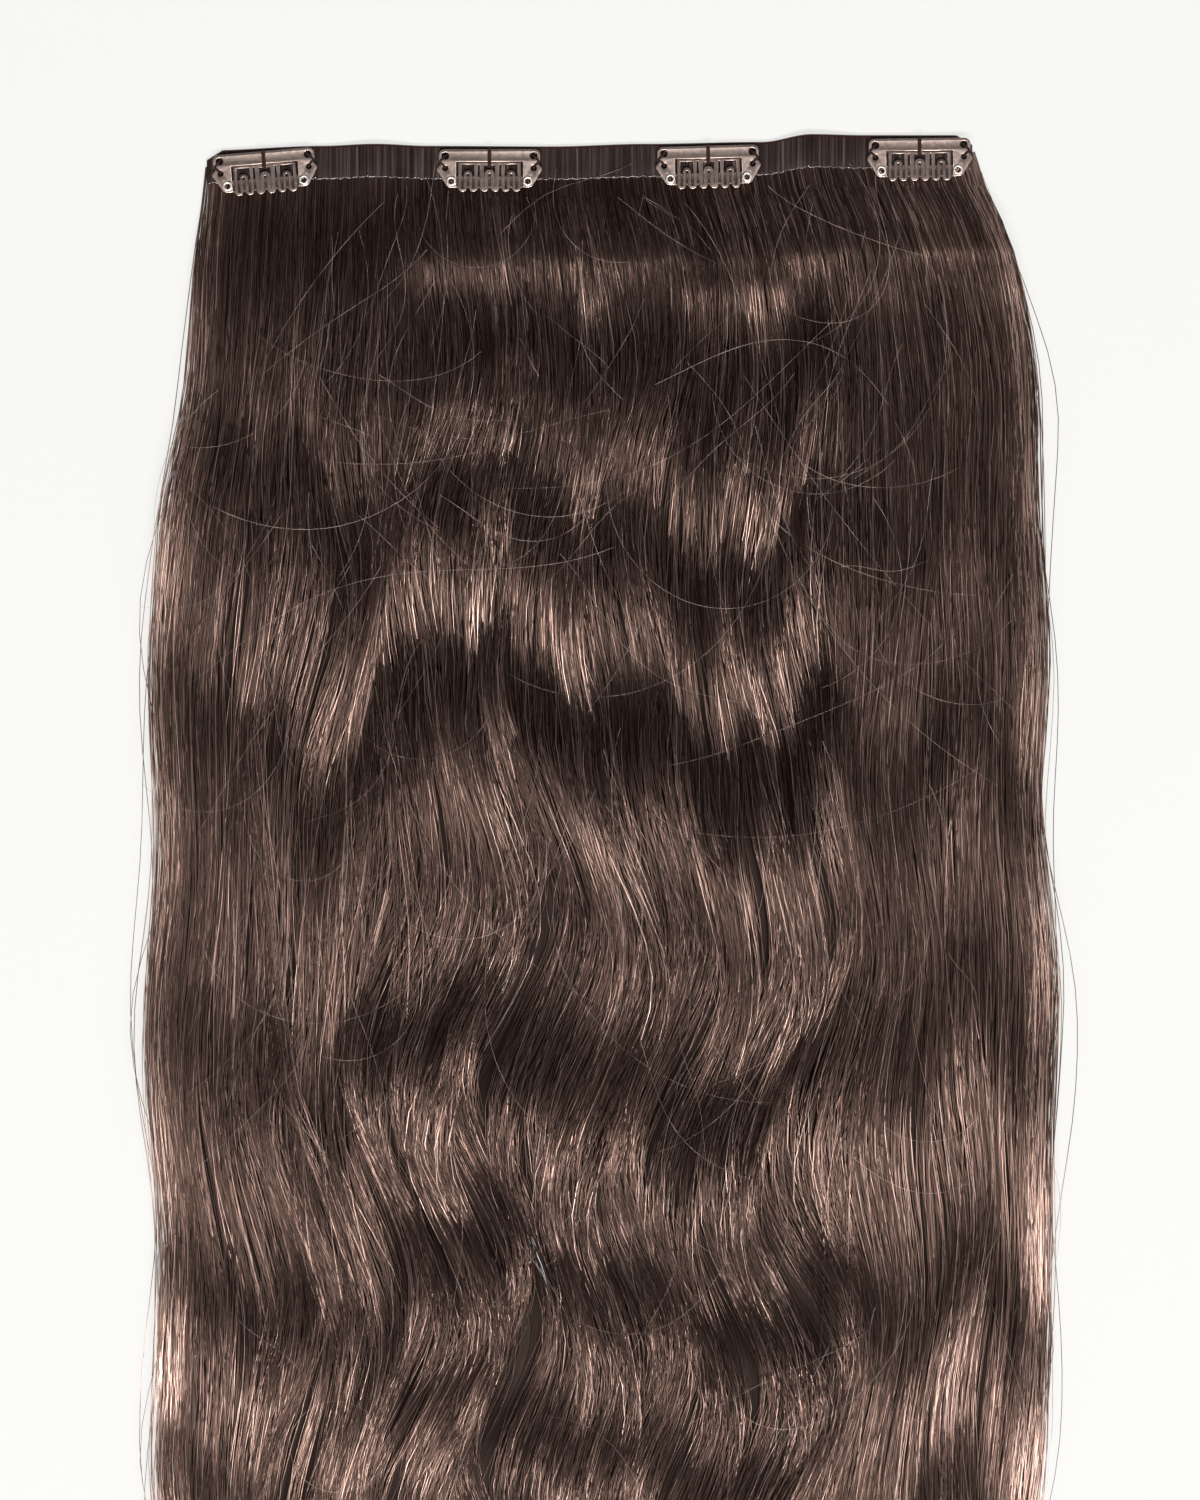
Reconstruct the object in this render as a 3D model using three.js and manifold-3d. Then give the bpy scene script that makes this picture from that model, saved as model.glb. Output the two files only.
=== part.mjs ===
// A clip-in hair extension: one wide weft of long wavy hair, lying on its back.
// A folded clear film grips the hair roots in a band, and four snap clips are sewn on the band's face.
// Each clip has a bracket plate, a hinged comb of U-shaped teeth, a back bar and two hollow rivets.
// Millimetres. X runs along the band, +Y points from the hair tips to the band, +Z up off the table.
// The origin ends at the middle of the whole part's footprint, on the table.
import * as THREE from "three";
import { mergeVertices } from "three/addons/utils/BufferGeometryUtils.js";
import Module from "manifold-3d";

const wasm = await Module();
wasm.setup();

// Band: a film folded over the flat root sheet of the hair, open along its lower edge
const bandLength = 204;
const bandHeight = 9;
const filmWall = 0.35;
const rootThickness = 0.6;
const pocketGap = 0.15;
const cornerCut = 4.2;
const cornerDrop = 2.6;
const bandRise = 3;
const bandLift = 1.6;
const bandStations = 34;

// Hair, laid out from the band's lower edge to the tips
const hairLength = 457;
const hairStart = 0.9;
const rootOverlap = 4;
const lockCount = 9;
const lockOverlap = 1.5;
const lockThickness = 5.2;
const rootLockThickness = 1.2;
const waveHeight = 6.5;
const waveLength = 78;
const swayReach = 5;
const swayLength = 119;
const lockStations = 30;
const mergeStep = 0.25;

// Clip: every piece is drawn flat, down from the plate's top edge
const clipWidth = 28;
const plateTopWidth = 27.1;
const stripHeight = 3.3;
const plateThickness = 0.5;
const cornerRadius = 1.6;
const earDrop = 5.3;
const notchDepth = 0.45;
const topMargin = 1.1;
const clipGap = 0.3;
const barThickness = 0.5;
const barHeight = 3.4;
const plateRise = 1.15;

// Rivets and the holes for the sewing thread
const rivetSpacing = 20.4;
const rivetDrop = 8.5;
const rivetBore = 0.6;
const rivetWall = 0.35;
const rivetFlange = 1.3;
const flangeThickness = 0.3;
const rivetGap = 0.12;
const rivetEdge = 1.7;
const sewHoleSpacing = 23.5;
const upperHoleDrop = 1.7;
const upperHoleRadius = 0.95;
const middleHoleSpacing = 23.6;
const middleHoleDrop = 5;
const middleHoleRadius = 0.75;

// Comb: a wire path of U-shaped teeth hung from a root bar that turns along the strip's lower edge
const combLength = 7.6;
const toothPairs = 3;
const toothPitch = 2.875;
const wireWidth = 0.95;
const combThickness = 0.5;
const combTilt = 4;
const rootBarHeight = 0.5;
const hingeOut = 0.45;
const hingeRise = 1;
const archDrop = 1.8;
const earSlit = 0.5;

// Sewing thread
const threadRadius = 0.25;
const threadGap = 0.12;

// The band's path: at is a share of half the band, rise a share of bandRise, lift of bandLift
const bandRows = [
  { at: -1, rise: -0.4, lift: 0 },
  { at: -0.7, rise: 0, lift: 0 },
  { at: -0.56, rise: 0.15, lift: 0.75 },
  { at: -0.42, rise: 0, lift: 0 },
  { at: -0.1, rise: -0.05, lift: 0 },
  { at: 0.15, rise: 0.18, lift: 0 },
  { at: 0.45, rise: 0.35, lift: 0 },
  { at: 0.58, rise: 1, lift: 1 },
  { at: 0.72, rise: 0.95, lift: 0 },
  { at: 1, rise: 0.95, lift: 0 },
];

// Clips: at is a share of half the band, turn the degrees that the clip is sewn out of line
const clipRows = [
  { at: -0.852, turn: 2.5 },
  { at: -0.261, turn: 0.4 },
  { at: 0.309, turn: 0.5 },
  { at: 0.861, turn: 0.8 },
];

// Outline of the hair: at is a share of hairLength, left and right are shares of half the band,
// full of lockThickness, wave of waveHeight and sway of swayReach
const hairRows = [
  { at: 0, left: -1, right: 1, full: 0, wave: 0, sway: 0 },
  { at: 0.04, left: -1.03, right: 1.07, full: 0.45, wave: 0.15, sway: 0.1 },
  { at: 0.13, left: -1.07, right: 1.16, full: 0.9, wave: 0.75, sway: 0.5 },
  { at: 0.19, left: -1.13, right: 1.17, full: 1, wave: 1, sway: 0.8 },
  { at: 0.3, left: -1.14, right: 1.21, full: 1, wave: 0.9, sway: 1 },
  { at: 0.39, left: -1.13, right: 1.18, full: 0.95, wave: 1, sway: 1 },
  { at: 0.48, left: -1.15, right: 1.22, full: 1, wave: 0.9, sway: 1 },
  { at: 0.6, left: -1.13, right: 1.21, full: 0.95, wave: 1, sway: 1 },
  { at: 0.77, left: -1.14, right: 1.2, full: 0.85, wave: 0.85, sway: 0.9 },
  { at: 0.89, left: -1.08, right: 1.13, full: 0.65, wave: 0.6, sway: 0.8 },
  { at: 1, left: -0.98, right: 1.02, full: 0.3, wave: 0.3, sway: 0.6 },
];

// Locks: where each one ends, as a share of hairLength, and its own shift in the wave, in turns
const lockRows = [
  { end: 0.955, shift: 0 },
  { end: 0.985, shift: 0.05 },
  { end: 0.965, shift: 0.12 },
  { end: 1, shift: 0.14 },
  { end: 0.975, shift: 0.22 },
  { end: 1, shift: 0.3 },
  { end: 0.96, shift: 0.33 },
  { end: 0.99, shift: 0.42 },
  { end: 0.945, shift: 0.5 },
];

const halfBand = bandLength / 2;
const bandThickness = 2 * filmWall + 2 * pocketGap + rootThickness;
const degrees = Math.PI / 180;

// Each column of a table at a place between its rows, eased so that the rows are level
function rowAt(rows, at) {
  const last = rows.length - 1;
  const place = Math.min(Math.max(at, rows[0].at), rows[last].at);
  const next = Math.max(1, rows.findIndex((row) => row.at >= place));
  const [a, b] = [rows[next - 1], rows[next]];
  const share = (place - a.at) / (b.at - a.at);
  const eased = share * share * (3 - 2 * share);
  const found = {};
  for (const key of Object.keys(a)) found[key] = a[key] + (b[key] - a[key]) * eased;
  return found;
}

// The band's top edge line and the height of its back above the table
function bandEdge(x) {
  const row = rowAt(bandRows, x / halfBand);
  return { y: row.rise * bandRise, lift: row.lift * bandLift };
}

// How far the cut corners lower the band's top edge near its ends
function cornerLoss(x) {
  const inside = Math.max(0, cornerCut - (halfBand - Math.abs(x)));
  return (inside * cornerDrop) / cornerCut;
}

function signedVolume(geometry) {
  const p = geometry.getAttribute("position");
  const [a, b, c] = [new THREE.Vector3(), new THREE.Vector3(), new THREE.Vector3()];
  let sum = 0;
  for (let i = 0; i < p.count; i += 3) {
    a.fromBufferAttribute(p, i);
    b.fromBufferAttribute(p, i + 1);
    c.fromBufferAttribute(p, i + 2);
    sum += a.dot(b.cross(c));
  }
  return sum;
}

// A ring's points in its own plane
function flattened(ring) {
  const normal = new THREE.Vector3();
  ring.forEach((point, i) => normal.add(point.clone().cross(ring[(i + 1) % ring.length])));
  const across = ring[1].clone().sub(ring[0]).normalize();
  const up = normal.normalize().cross(across).normalize();
  return ring.map((point) => new THREE.Vector2(point.dot(across), point.dot(up)));
}

// A closed body through a row of rings that have the same number of points
function loft(rings) {
  const sides = rings[0].length;
  const corners = [];
  const quad = (a, b, c, d) => corners.push(a, b, c, a, c, d);
  for (let i = 0; i + 1 < rings.length; i++)
    for (let k = 0; k < sides; k++) {
      const next = (k + 1) % sides;
      quad(rings[i][k], rings[i][next], rings[i + 1][next], rings[i + 1][k]);
    }
  for (const [ring, turned] of [[rings[0], true], [rings.at(-1), false]])
    for (const [a, b, c] of THREE.ShapeUtils.triangulateShape(flattened(ring), []))
      corners.push(ring[a], ring[turned ? c : b], ring[turned ? b : c]);
  return outward(new THREE.BufferGeometry().setFromPoints(corners));
}

// The same body with its faces pointing out
function outward(geometry) {
  if (signedVolume(geometry) > 0) return geometry;
  const p = geometry.getAttribute("position").array;
  for (let i = 0; i < p.length; i += 9)
    for (let k = 0; k < 3; k++) [p[i + 3 + k], p[i + 6 + k]] = [p[i + 6 + k], p[i + 3 + k]];
  return geometry;
}

function solidFrom(geometry) {
  const bare = new THREE.BufferGeometry();
  bare.setAttribute("position", geometry.getAttribute("position"));
  const merged = mergeVertices(bare, 1e-4);
  return new wasm.Manifold(
    new wasm.Mesh({
      numProp: 3,
      vertProperties: new Float32Array(merged.getAttribute("position").array),
      triVerts: new Uint32Array(merged.index.array),
    }),
  );
}

function geometryFrom(solid) {
  const mesh = solid.getMesh();
  const geometry = new THREE.BufferGeometry();
  geometry.setAttribute("position", new THREE.BufferAttribute(mesh.vertProperties, 3));
  geometry.setIndex(new THREE.BufferAttribute(mesh.triVerts, 1));
  return geometry;
}

function arc(x, y, radius, fromDegrees, toDegrees, steps) {
  const points = [];
  for (let i = 0; i <= steps; i++) {
    const turn = (fromDegrees + ((toDegrees - fromDegrees) * i) / steps) * degrees;
    points.push(new THREE.Vector2(x + radius * Math.cos(turn), y + radius * Math.sin(turn)));
  }
  return points;
}

function circle(x, y, radius, sides) {
  return new THREE.Path(arc(x, y, radius, 0, 360 - 360 / sides, sides - 1));
}

// A flat stamped piece of an outline with holes, its underside at z
function stamped(outline, holes, z, thickness) {
  const shape = new THREE.Shape(outline);
  shape.holes.push(...holes);
  const geometry = new THREE.ExtrudeGeometry(shape, { depth: thickness, bevelEnabled: false });
  return geometry.translate(0, 0, z);
}

// The folded film: a wall in front of the roots, one behind them and a fold along the top
function makeBand() {
  const rings = [];
  for (let i = 0; i <= bandStations; i++) {
    const x = -halfBand + (bandLength * i) / bandStations;
    const { y, lift } = bandEdge(x);
    const top = y - cornerLoss(x);
    const bottom = y - bandHeight;
    const roof = top - filmWall;
    const section = [
      [bottom, 0],
      [top, 0],
      [top, bandThickness],
      [bottom, bandThickness],
      [bottom, bandThickness - filmWall],
      [roof, bandThickness - filmWall],
      [roof, filmWall],
      [bottom, filmWall],
    ];
    rings.push(section.map(([across, up]) => new THREE.Vector3(x, across, up + lift)));
  }
  return loft(rings);
}

// The thin sheet of flattened roots that the film holds, which carries every lock
function makeRootSheet() {
  const endGap = filmWall + pocketGap;
  const sheetLength = bandLength - 2 * endGap;
  const rings = [];
  for (let i = 0; i <= bandStations; i++) {
    const x = -sheetLength / 2 + (sheetLength * i) / bandStations;
    const { y, lift } = bandEdge(x);
    const top = y - cornerLoss(x) - filmWall - pocketGap;
    const bottom = y - bandHeight - rootOverlap;
    const low = lift + filmWall + pocketGap;
    const high = low + rootThickness;
    rings.push([
      new THREE.Vector3(x, bottom, low),
      new THREE.Vector3(x, top, low),
      new THREE.Vector3(x, top, high),
      new THREE.Vector3(x, bottom, high),
    ]);
  }
  return loft(rings);
}

// One lock: a flattened bundle that leaves the roots, waves and sways, and thins out at its tip
function makeLock(index) {
  const lock = lockRows[index % lockRows.length];
  const middle = -1 + (2 * index + 1) / lockCount;
  const reach = (lockOverlap / lockCount) * (1 - 0.12 * Math.abs(middle));
  const rings = [];
  for (let i = 0; i <= lockStations; i++) {
    const share = (i / lockStations) * lock.end;
    const row = rowAt(hairRows, share);
    const along = share * hairLength;
    const tip = i / lockStations;
    const taper = 1 - 0.7 * tip ** 8;
    const edgeHold = 1 - 0.75 * Math.abs(middle) ** 3;
    const swayTurn = along / swayLength + 0.35 * middle;
    const sway = row.sway * swayReach * edgeHold * Math.sin(2 * Math.PI * swayTurn);
    const waveTurn = along / waveLength + lock.shift;
    const wave = (row.wave * waveHeight * (1 - Math.cos(2 * Math.PI * waveTurn))) / 2;
    const thickness = rootLockThickness + (lockThickness - rootLockThickness) * row.full;
    const spread = (row.right - row.left) / 2;
    const centre = ((row.left + row.right) / 2) * halfBand + middle * spread * halfBand + sway;
    const half = Math.min(reach, 1 - Math.abs(middle)) * spread * halfBand * taper;
    const rootShare = Math.max(0, 1 - along / bandHeight / 2);
    const at = (side, up) => {
      const x = centre + side * half;
      const root = bandEdge(x);
      const rest = rootShare * (root.lift + (bandThickness - thickness) / 2);
      const y = root.y - bandHeight - hairStart - along;
      return new THREE.Vector3(x, y, wave + rest + up * thickness);
    };
    rings.push([at(-1, 0.3), at(-0.5, 0), at(0.5, 0), at(1, 0.3), at(0.45, 1), at(-0.45, 1)]);
  }
  return loft(rings);
}

// All the hair is one body: the locks joined to the root sheet
function makeHair() {
  let locks = solidFrom(makeLock(0));
  for (let index = 1; index < lockCount; index++) locks = locks.add(solidFrom(makeLock(index)));
  return geometryFrom(solidFrom(makeRootSheet()).add(locks.simplify(mergeStep)));
}

const legPlace = toothPitch / 4;
const barPlace = (3 * toothPitch) / 4;
const combWidth = (toothPairs - 1) * 2 * toothPitch + 2 * barPlace + wireWidth;
const slitPlace = combWidth / 2 + earSlit;
const hingeDrop = stripHeight + hingeOut;

const mirrored = (points) => [
  ...points,
  ...points.map((p) => new THREE.Vector2(-p.x, p.y)).reverse(),
];

// The bracket plate: a strip across the top and an ear down each side, with the comb between them
function makePlate() {
  const top = plateTopWidth / 2;
  const ear = clipWidth / 2;
  const rivet = rivetSpacing / 2;
  const notch = (stripHeight + earDrop) / 2 - notchDepth;
  const right = [
    ...arc(top - cornerRadius, -cornerRadius, cornerRadius, 90, 0, 3),
    new THREE.Vector2(top, -notch + notchDepth),
    new THREE.Vector2(top - notchDepth, -notch),
    new THREE.Vector2(ear - notchDepth, -notch - notchDepth),
    ...arc(ear - cornerRadius / 2, -earDrop, cornerRadius / 2, 40, -30, 2),
    ...arc(rivet, -rivetDrop, rivetEdge, -30, -90, 4),
    new THREE.Vector2(slitPlace, -rivetDrop - rivetEdge),
    new THREE.Vector2(slitPlace, -stripHeight),
  ];
  const holes = [];
  for (const side of [-1, 1])
    holes.push(
      circle((side * sewHoleSpacing) / 2, -upperHoleDrop, upperHoleRadius, 8),
      circle((side * middleHoleSpacing) / 2, -middleHoleDrop, middleHoleRadius, 8),
      circle(side * rivet, -rivetDrop, rivetBore + rivetWall + rivetGap, 8),
    );
  return stamped(mirrored(right), holes, plateRise, plateThickness);
}

// The back bar that the teeth close on, held at both ends by the rivets
function makeBar() {
  const rivet = rivetSpacing / 2;
  const outline = [
    ...arc(rivet, -rivetDrop, barHeight / 2, 90, -90, 4),
    ...arc(-rivet, -rivetDrop, barHeight / 2, 270, 90, 4),
  ];
  const holes = [];
  for (const side of [-1, 1])
    holes.push(circle(side * rivet, -rivetDrop, rivetBore + rivetWall + rivetGap, 8));
  return stamped(outline, holes, clipGap, barThickness);
}

// A hollow rivet with a rolled flange on the plate's face
function makeRivet(side) {
  const outer = rivetBore + rivetWall;
  const plateTop = plateRise + plateThickness;
  const flangeLow = plateTop + rivetGap;
  const profile = [
    [rivetBore, clipGap],
    [outer, clipGap],
    [outer, flangeLow],
    [rivetFlange, flangeLow],
    [rivetFlange - flangeThickness / 2, flangeLow + flangeThickness],
    [rivetBore + flangeThickness / 2, flangeLow + flangeThickness],
    [rivetBore, flangeLow],
    [rivetBore, clipGap],
  ];
  const points = profile.map(([radius, up]) => new THREE.Vector2(radius, up));
  const geometry = new THREE.LatheGeometry(points, 8).rotateX(Math.PI / 2);
  return geometry.translate((side * rivetSpacing) / 2, -rivetDrop, 0);
}

// The comb, drawn from its hinge line down: one wire folded into pairs of teeth below a root bar
function makeComb() {
  const half = wireWidth / 2;
  const bend = toothPitch / 4;
  const tipY = -combLength + bend + half;
  const archY = -archDrop - legPlace - half;
  const rootTop = rootBarHeight / 2;
  const outline = [
    new THREE.Vector2(-combWidth / 2, rootTop),
    new THREE.Vector2(-combWidth / 2, -rootTop),
  ];
  const holes = [];
  for (let pair = 0; pair < toothPairs; pair++) {
    const x = (pair - (toothPairs - 1) / 2) * 2 * toothPitch;
    const left = x - barPlace;
    const right = x + barPlace;
    if (pair > 0) outline.push(new THREE.Vector2(left - half, -rootTop));
    outline.push(
      ...arc(x - toothPitch / 2, tipY, bend + half, 180, 360, 4),
      ...arc(x, archY, legPlace - half, 180, 0, 3),
      ...arc(x + toothPitch / 2, tipY, bend + half, 180, 360, 4),
    );
    if (pair < toothPairs - 1) outline.push(new THREE.Vector2(right + half, -rootTop));
    holes.push(
      new THREE.Path([
        new THREE.Vector2(left + half, -rootTop),
        ...arc(x - toothPitch / 2, tipY, bend - half, 180, 360, 3),
        ...arc(x, archY, legPlace + half, 180, 0, 4),
        ...arc(x + toothPitch / 2, tipY, bend - half, 180, 360, 3),
        new THREE.Vector2(right - half, -rootTop),
      ]),
    );
  }
  outline.push(
    new THREE.Vector2(combWidth / 2, -rootTop),
    new THREE.Vector2(combWidth / 2, rootTop),
  );
  return stamped(outline, holes, -combThickness / 2, combThickness);
}

// A stitch: thread that rises at its first foot, crosses the plate and goes down at its last
function makeStitch(feet) {
  const low = clipGap / 2;
  const high = plateRise + plateThickness + threadGap + threadRadius;
  const points = feet.map(([x, y]) => new THREE.Vector3(x, y, high));
  points.unshift(points[0].clone().setZ(low));
  points.push(points.at(-1).clone().setZ(low));
  const steps = points.slice(1).map((point, i) => point.clone().sub(points[i]).normalize());
  const side = new THREE.Vector3(1, 0, 0);
  const rings = points.map((point, i) => {
    const ahead = new THREE.Vector3();
    if (i > 0) ahead.add(steps[i - 1]);
    if (i < steps.length) ahead.add(steps[i]);
    ahead.normalize();
    side.addScaledVector(ahead, -side.dot(ahead)).normalize();
    const up = ahead.clone().cross(side);
    return arc(0, 0, threadRadius, 0, 288, 4).map((v) =>
      point.clone().addScaledVector(side, v.x).addScaledVector(up, v.y),
    );
  });
  return loft(rings);
}

const steel = () => new THREE.MeshStandardMaterial({ color: 0x8f7b73, roughness: 0.35, metalness: 0.9 });
const rivetSteel = () => new THREE.MeshStandardMaterial({ color: 0xd8cabb, roughness: 0.25, metalness: 1 });
const film = () => new THREE.MeshStandardMaterial({ color: 0x574641, roughness: 0.2, metalness: 0 });
const hairBrown = () => new THREE.MeshStandardMaterial({ color: 0x57443c, roughness: 0.45, metalness: 0 });
const threadBrown = () => new THREE.MeshStandardMaterial({ color: 0x33231f, roughness: 0.8, metalness: 0 });

function named(name, geometry, material) {
  const mesh = new THREE.Mesh(geometry, material);
  mesh.name = name;
  return mesh;
}

// One clip, seated on the band's face at its place and turned with the band
function makeClip(index) {
  const { at, turn } = clipRows[index];
  const number = index + 1;
  const x = at * halfBand;
  const reach = clipWidth / 2;
  const slope = (bandEdge(x + reach).y - bandEdge(x - reach).y) / clipWidth;
  const clip = new THREE.Group();
  const { y, lift } = bandEdge(x);
  clip.position.set(x, y - topMargin, lift + bandThickness);
  clip.rotation.z = Math.atan(slope) + turn * degrees;
  const upper = sewHoleSpacing / 2;
  const middle = middleHoleSpacing / 2;
  const wrap = (plateTopWidth - notchDepth) / 2;
  const wrapDrop = (upperHoleDrop + middleHoleDrop) / 2;
  const combFoot = hingeDrop + rootBarHeight / 2 + clipGap + threadRadius;
  const sideStitch = (side) => [
    [side * upper, -upperHoleDrop],
    [side * wrap, -wrapDrop],
    [side * middle, -middleHoleDrop],
  ];
  const middleStitch = [
    [0, topMargin / 2],
    [0, -combFoot],
  ];
  const comb = named(`comb_${number}`, makeComb(), steel());
  comb.position.set(0, -hingeDrop, hingeRise);
  comb.rotation.x = -combTilt * degrees;
  clip.add(
    named(`plate_${number}`, makePlate(), steel()),
    comb,
    named(`bar_${number}`, makeBar(), steel()),
    named(`rivet_left_${number}`, makeRivet(-1), rivetSteel()),
    named(`rivet_right_${number}`, makeRivet(1), rivetSteel()),
    named(`stitch_left_${number}`, makeStitch(sideStitch(-1)), threadBrown()),
    named(`stitch_right_${number}`, makeStitch(sideStitch(1)), threadBrown()),
    named(`stitch_middle_${number}`, makeStitch(middleStitch), threadBrown()),
  );
  return clip;
}

const weft = new THREE.Group();
weft.add(named("band", makeBand(), film()));
weft.add(named("hair", makeHair(), hairBrown()));
for (let index = 0; index < clipRows.length; index++) weft.add(makeClip(index));

// The pieces are laid out from the middle of the band's top edge, so the whole is moved at the end
const footprint = new THREE.Box3().setFromObject(weft).getCenter(new THREE.Vector3());
weft.position.set(-footprint.x, -footprint.y, 0);

export default weft;
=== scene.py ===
import math

import bmesh
import bpy
import numpy as np
from mathutils import Matrix, Vector


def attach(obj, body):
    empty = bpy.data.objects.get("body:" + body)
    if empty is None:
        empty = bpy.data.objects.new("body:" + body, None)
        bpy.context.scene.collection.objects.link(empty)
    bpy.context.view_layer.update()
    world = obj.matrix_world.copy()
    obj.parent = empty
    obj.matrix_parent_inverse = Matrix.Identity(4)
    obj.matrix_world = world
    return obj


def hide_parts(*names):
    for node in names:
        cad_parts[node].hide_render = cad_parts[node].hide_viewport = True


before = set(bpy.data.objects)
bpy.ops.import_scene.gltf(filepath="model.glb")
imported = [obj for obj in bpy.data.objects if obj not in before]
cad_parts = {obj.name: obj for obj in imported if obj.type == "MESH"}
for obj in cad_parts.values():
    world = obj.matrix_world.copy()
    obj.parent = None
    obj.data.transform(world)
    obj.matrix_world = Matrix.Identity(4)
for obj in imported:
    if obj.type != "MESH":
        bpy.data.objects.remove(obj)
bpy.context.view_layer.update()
print("stage: frame loaded")

mm = 0.001
rng = np.random.default_rng(11)

# the solids are laid out in millimetres from the middle of the band's top edge, then moved by this
layout = {"shiftX": -3.918, "shiftY": 232.013}


def place(x, y, z):
    return np.stack([(x + layout["shiftX"]) * mm, (y + layout["shiftY"]) * mm, z * mm], axis=-1)


# Shader and geometry trees

class Wire:
    def __init__(self, tree, socket):
        self.tree = tree
        self.socket = socket

    def maths(self, operation, first, second):
        node = self.tree.nodes.new("ShaderNodeMath")
        node.operation = operation
        for slot, value in zip(node.inputs, (first, second)):
            if isinstance(value, Wire):
                self.tree.links.new(value.socket, slot)
            else:
                slot.default_value = value
        return Wire(self.tree, node.outputs[0])

    def __add__(self, other):
        return self.maths("ADD", self, other)

    def __radd__(self, other):
        return self.maths("ADD", other, self)

    def __sub__(self, other):
        return self.maths("SUBTRACT", self, other)

    def __rsub__(self, other):
        return self.maths("SUBTRACT", other, self)

    def __mul__(self, other):
        return self.maths("MULTIPLY", self, other)

    def __rmul__(self, other):
        return self.maths("MULTIPLY", other, self)


class Graph:
    def __init__(self, tree):
        self.tree = tree

    def node(self, kind, settings=None, sockets=None, output=0):
        node = self.tree.nodes.new(kind)
        for name, value in (settings or {}).items():
            setattr(node, name, value)
        for key, value in (sockets or {}).items():
            self.feed(node.inputs[key], value)
        return Wire(self.tree, node.outputs[output])

    def feed(self, slot, value):
        if isinstance(value, Wire):
            self.tree.links.new(value.socket, slot)
        else:
            slot.default_value = value

    def ramp(self, factor, stops):
        colours = self.node("ShaderNodeValToRGB", None, {0: factor})
        elements = colours.socket.node.color_ramp.elements
        while len(elements) < len(stops):
            elements.new(0.5)
        for element, (position, colour) in zip(elements, stops):
            element.position = position
            element.color = (*colour, 1)
        return colours


def newMaterial(name, **constants):
    material = bpy.data.materials.new(name)
    material.use_nodes = True
    graph = Graph(material.node_tree)
    inputs = material.node_tree.nodes["Principled BSDF"].inputs
    for key, value in constants.items():
        inputs[key.replace("_", " ")].default_value = value

    def shade(name, value):
        graph.feed(inputs[name], value)

    return material, graph, shade


def mixColour(graph, factor, first, second):
    settings = {"data_type": "RGBA", "blend_type": "MIX", "clamp_result": False}
    node = graph.node("ShaderNodeMix", settings, {0: factor}).socket.node
    for slot, value in ((node.inputs[6], first), (node.inputs[7], second)):
        graph.feed(slot, value if isinstance(value, Wire) else (*value, 1))
    return Wire(graph.tree, node.outputs[2])


def objectSpot(graph):
    return graph.node("ShaderNodeTexCoord", output="Object")


# Noise of one scale, or stretched by three
def noiseOver(graph, vector, scale, detail):
    if isinstance(scale, tuple):
        vector = graph.node("ShaderNodeMapping", None, {"Vector": vector, "Scale": scale})
        scale = 1.0
    return graph.node("ShaderNodeTexNoise", None, {"Vector": vector, "Scale": scale, "Detail": detail})


def bumpFrom(graph, shade, height, strength, distance):
    bump = graph.node("ShaderNodeBump", None, {"Strength": strength, "Distance": distance, "Height": height})
    shade("Normal", bump)


# Mesh helpers

def meshFromArrays(name, points, faces=None, edges=None, uv=None):
    mesh = bpy.data.meshes.new(name)
    mesh.vertices.add(len(points))
    mesh.vertices.foreach_set("co", np.asarray(points, np.float32).ravel())
    if edges is not None:
        mesh.edges.add(len(edges))
        mesh.edges.foreach_set("vertices", np.asarray(edges, np.int32).ravel())
    if faces is not None:
        faces = np.asarray(faces, np.int32)
        sides = faces.shape[1]
        mesh.loops.add(faces.size)
        mesh.loops.foreach_set("vertex_index", faces.ravel())
        mesh.polygons.add(len(faces))
        mesh.polygons.foreach_set("loop_start", np.arange(0, faces.size, sides, dtype=np.int32))
        mesh.polygons.foreach_set("use_smooth", np.full(len(faces), True))
    mesh.update(calc_edges=True)
    if uv is not None:
        layer = mesh.uv_layers.new(name="UVMap")
        layer.data.foreach_set("uv", np.asarray(uv, np.float32)[faces.ravel()].ravel())
    mesh.validate()
    return mesh


def closeEnds(mesh):
    work = bmesh.new()
    work.from_mesh(mesh)
    bmesh.ops.holes_fill(work, edges=[e for e in work.edges if e.is_boundary], sides=0)
    bmesh.ops.recalc_face_normals(work, faces=work.faces)
    work.to_mesh(mesh)
    work.free()


def addPiece(name, mesh, material=None):
    piece = bpy.data.objects.new(name, mesh)
    bpy.context.scene.collection.objects.link(piece)
    if material:
        mesh.materials.clear()
        mesh.materials.append(material)
    return piece


def joinSmooth(mesh, angle):
    work = bmesh.new()
    work.from_mesh(mesh)
    bmesh.ops.recalc_face_normals(work, faces=work.faces)
    for face in work.faces:
        face.smooth = True
    for edge in work.edges:
        edge.smooth = edge.is_manifold and edge.calc_face_angle(0) < math.radians(angle)
    work.to_mesh(mesh)
    work.free()


def meshOf(piece, name):
    graph = bpy.context.evaluated_depsgraph_get()
    graph.update()
    mesh = bpy.data.meshes.new_from_object(piece.evaluated_get(graph), depsgraph=graph)
    mesh.name = name
    old = piece.data
    bpy.data.objects.remove(piece)
    if isinstance(old, bpy.types.Mesh):
        bpy.data.meshes.remove(old)
    else:
        bpy.data.curves.remove(old)
    return mesh


def runTree(name, mesh, tree, values, material):
    source = addPiece(name + "Source", mesh)
    modifier = source.modifiers.new("build", "NODES")
    modifier.node_group = tree
    values = {**values, "Material": material}
    for item in tree.interface.items_tree:
        if item.item_type == "SOCKET" and item.in_out == "INPUT" and item.name in values:
            modifier[item.identifier] = values[item.name]
    return addPiece(name, meshOf(source, name), material)


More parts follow.
